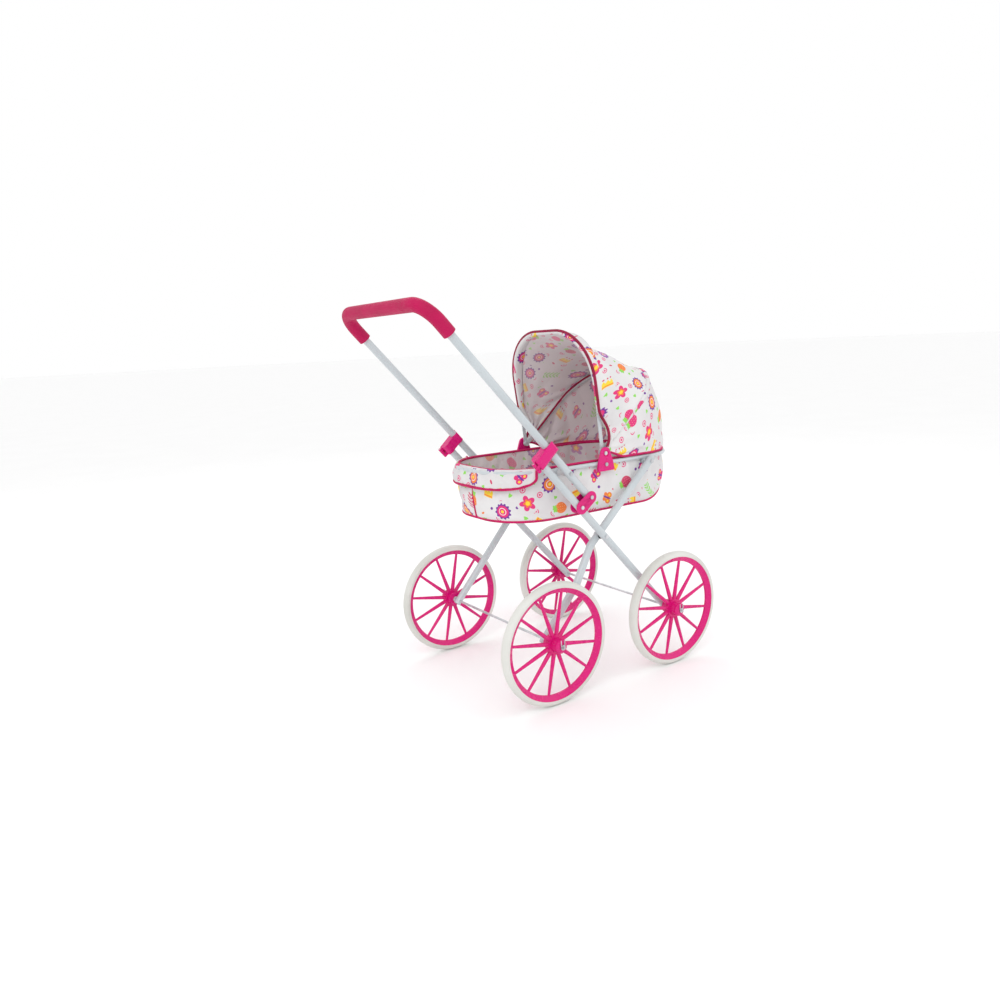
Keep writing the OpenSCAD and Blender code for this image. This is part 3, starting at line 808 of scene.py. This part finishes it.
apron_ends = np.empty(len(foot_apron.data.vertices) * 3)
foot_apron.data.vertices.foreach_get("co", apron_ends)
apron_ends = apron_ends.reshape(-1, 3)[: nf * N_A].reshape(nf, N_A, 3)
apron_edge = np.concatenate([apron_ends[0, N_A // 4 : -1], apron_ends[:, -1],
    apron_ends[-1, -2 : N_A // 4 - 1 : -1]])
for _ in range(6):
    apron_edge[1:-1] = (apron_edge[:-2] + 2 * apron_edge[1:-1] + apron_edge[2:]) / 4
hood_line_low = column_of(hood_rear_cloth, N_S, N_R, N_R - 1)
rib_rows = [column_of(hood_front_cloth, N_S, N_T, 1), column_of(hood_front_cloth, N_S, N_T, 0),
            column_of(hood_rear_cloth, N_S, N_R, 1)]


def keep_share(o, share):
    """Stores how far each point of a sheet lies between its two seams, through the later modifiers."""
    a = o.data.attributes.new("share", "FLOAT", "POINT")
    a.data.foreach_set("value", np.asarray(share, np.float32).ravel())


def bend_by_share(o, lo, hi):
    first = tuple(at(np.array(lo), np.array(0.0), np.array(0.2)))
    last = tuple(at(np.array(hi), np.array(0.0), np.array(0.2)))
    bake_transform(o)
    w = np.empty(len(o.data.vertices), np.float32)
    o.data.attributes["share"].data.foreach_get("value", w)


keep_share(hood_front_cloth, np.broadcast_to(along[None, :], (N_S, N_T)))
keep_share(hood_rear_cloth, np.broadcast_to(1 - back[None, :], (N_S, N_R)))
cot_middle = ((COT_LO + COT_HI) / 2) + [0, 0, 0.06]
outward_from = (
    (hood_front_cloth, PIVOT),
    (hood_rear_cloth, PIVOT),
    (cot_walls, cot_middle),
    (cot_bottom, cot_middle),
    (cot_lining, cot_middle - [0, 0, 1]),
    (foot_apron, cot_middle - [0, 0, 0.02]),
)
for o, c in outward_from:
    face_out(o, c)
for o in (hood_front_cloth, hood_rear_cloth, cot_walls, cot_bottom, cot_lining, foot_apron):
    o.data.materials.append(M_CLOTH)
thicken(hood_front_cloth, 0.0007, 1, M_INSIDE)
thicken(hood_rear_cloth, 0.0007, 1, M_INSIDE)
thicken(cot_walls, 0.0009, 1, M_INSIDE)
thicken(cot_bottom, 0.0008, 0, M_INSIDE)
thicken(cot_lining, 0.0008, 0, M_INSIDE)
s = foot_apron.modifiers.new("sub", "SUBSURF")
s.levels = s.render_levels = 1
bake(foot_apron)

bend_by_share(hood_front_cloth, RIB, FRONT)
bend_by_share(hood_rear_cloth, -4.0, RIB)
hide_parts("hood_front_panel", "hood_middle_panel")
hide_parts("hood_rear_panel")

# ---------- pipings, casings and the turned-in facing ----------
def arch_line(theta, width, top, corner, cut=1):
    y, r = arch(width, top, corner)
    return at(theta(r) if callable(theta) else theta, y, r)[cut:-cut]


down = np.linspace(0.02, 1, 16)
wall_seam = np.array([(top[0] * (1 - t) + bottom[0] * t) - inward[0] * (BELLY * belly(t) + 0.001)
                      for t in down])
seam_loop = loop_points(-0.0035, 161)[:-1]
pieces = [
    (tube("hood_front_piping", arch_line(edge_angle, 0.1345, 0.2432, 0.102, 2), 0.0030), M_PIPE,
     "hood_front"),
    (tube("hood_inner_piping", arch_line(RIB + 1.6, 0.1212, 0.2298, 0.100, 5), 0.0022), M_PIPE, "hood_rib"),
    (tube("hood_low_piping", hood_line_low, 0.0025), M_BIND, "carriage"),
    (tube("cot_top_binding", loop_points(0.0, 161, COT_HI[2] - 0.0005)[:-1], 0.0027, closed=True), M_BIND,
     "carriage"),
    (tube("cot_bottom_piping", np.column_stack([seam_loop[:, :2], floor_z(seam_loop[:, 0])]), 0.0025,
          closed=True), M_BIND, "carriage"),
    (tube("apron_binding", apron_edge, 0.0028), M_BIND, "carriage"),
    (tube("cot_foot_seam", wall_seam, 0.0023), M_BIND, "carriage"),
]
# rib casing: a band over the seam outside, and one round the hoop inside
lift = [0.0004, 0.0016, 0.0024, 0.0016, 0.0004]
line = [rib_rows[0], (rib_rows[0] + rib_rows[1] * 2) / 3, rib_rows[1], (rib_rows[2] + rib_rows[1] * 2) / 3,
        rib_rows[2]]
away = rib_rows[1] - PIVOT
away /= np.maximum(np.linalg.norm(away, axis=1), 1e-6)[:, None]
casing = grid("hood_rib_casing", np.stack([q + away * h for q, h in zip(line, lift)], axis=1)[5:-5])
pieces.append((casing, M_CLOTH, "hood_rib"))
bands = []
for d in (-2.0, -1.4, 0.0, 1.4, 2.0):
    spread = 0.004 * abs(d) / 2.0
    bands.append(arch_line(RIB + d, 0.1214 + spread, 0.2300 + spread, 0.100, 5))
sleeve = grid("hood_rib_sleeve", np.stack(bands, axis=1))
pieces.append((sleeve, M_INSIDE, "hood_rib"))
# facing: turned in over the front hoop, then back along the inside
turned = [  # degrees from the edge, half width, height
    (0.2, 0.1340, 0.2428),
    (0.6, 0.1312, 0.2400),
    (0.2, 0.1270, 0.2362),
    (-1.5, 0.1262, 0.2352),
    (-3.5, 0.1264, 0.2350),
    (-5.5, 0.1270, 0.2352),
    (-7.6, 0.1290, 0.2362),
]
bands = [arch_line(lambda r, d=d: edge_angle(r) + d, w, h, 0.100, 5) for d, w, h in turned]
facing = grid("hood_facing", np.stack(bands, axis=1))
pieces.append((facing, M_CLOTH, "hood_front"))

for o, mat, body in pieces:
    o.data.materials.append(mat)
    if o in (casing, facing, sleeve):
        thicken(o, 0.0008)
    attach(o, body)
for o in (cot_walls, cot_bottom, cot_lining, foot_apron):
    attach(o, "carriage")
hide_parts("carrycot")
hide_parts("foot_flap")

# ---------- stage, light and camera ----------
floor = add("floor", [(-60, -60, 0), (60, -60, 0), (60, 60, 0), (-60, 60, 0)], [(0, 1, 2, 3)])
m, t, b = material("floor", (0.97, 0.97, 0.97), 0.8, Specular_IOR_Level=0.2)
vary(t, b, noise(t, 3.0, 2.0), (0.965, 0.965, 0.965), (0.975, 0.975, 0.975))
floor.data.materials.append(m)

bpy.context.scene.view_settings.view_transform = "Standard"
world = bpy.data.worlds.new("world")
bpy.context.scene.world = world
world.use_nodes = True
world.node_tree.nodes["Background"].inputs[0].default_value = (1.0, 1.0, 1.0, 1.0)
world.node_tree.nodes["Background"].inputs[1].default_value = 1.0


def lamp(name, place, aim, size, power):
    d = bpy.data.lights.new(name, "AREA")
    d.size, d.energy = size, power
    o = bpy.data.objects.new(name, d)
    o.location = place
    o.rotation_mode = "QUATERNION"
    o.rotation_quaternion = (Vector(aim) - Vector(place)).to_track_quat("-Z", "Y")
    bpy.context.scene.collection.objects.link(o)


lamp("key", (-1.9, -1.6, 2.3), (0, 0, 0.35), 1.4, 17)
lamp("fill", (1.9, -2.0, 1.3), (0, 0, 0.4), 1.8, 5)
lamp("back", (1.0, 2.0, 2.2), (0, 0, 0.4), 1.6, 9)

az, el, roll = math.radians(33.870), math.radians(11.039), math.radians(-2.663)
look = Vector((math.sin(az) * math.cos(el), math.cos(az) * math.cos(el), -math.sin(el)))
right = look.cross(Vector((0, 0, 1))).normalized()
up = right.cross(look)
right, up = math.cos(roll) * right + math.sin(roll) * up, -math.sin(roll) * right + math.cos(roll) * up
cam_data = bpy.data.cameras.new("camera")
cam_data.sensor_width, cam_data.lens = 36.0, 28.62
cam = bpy.data.objects.new("camera", cam_data)
bpy.context.scene.collection.objects.link(cam)
place = Vector((-0.95845, -1.3055, 0.6732))
cam.matrix_world = Matrix((
    (right.x, up.x, -look.x, place.x),
    (right.y, up.y, -look.y, place.y),
    (right.z, up.z, -look.z, place.z),
    (0, 0, 0, 1),
))
bpy.context.scene.camera = cam
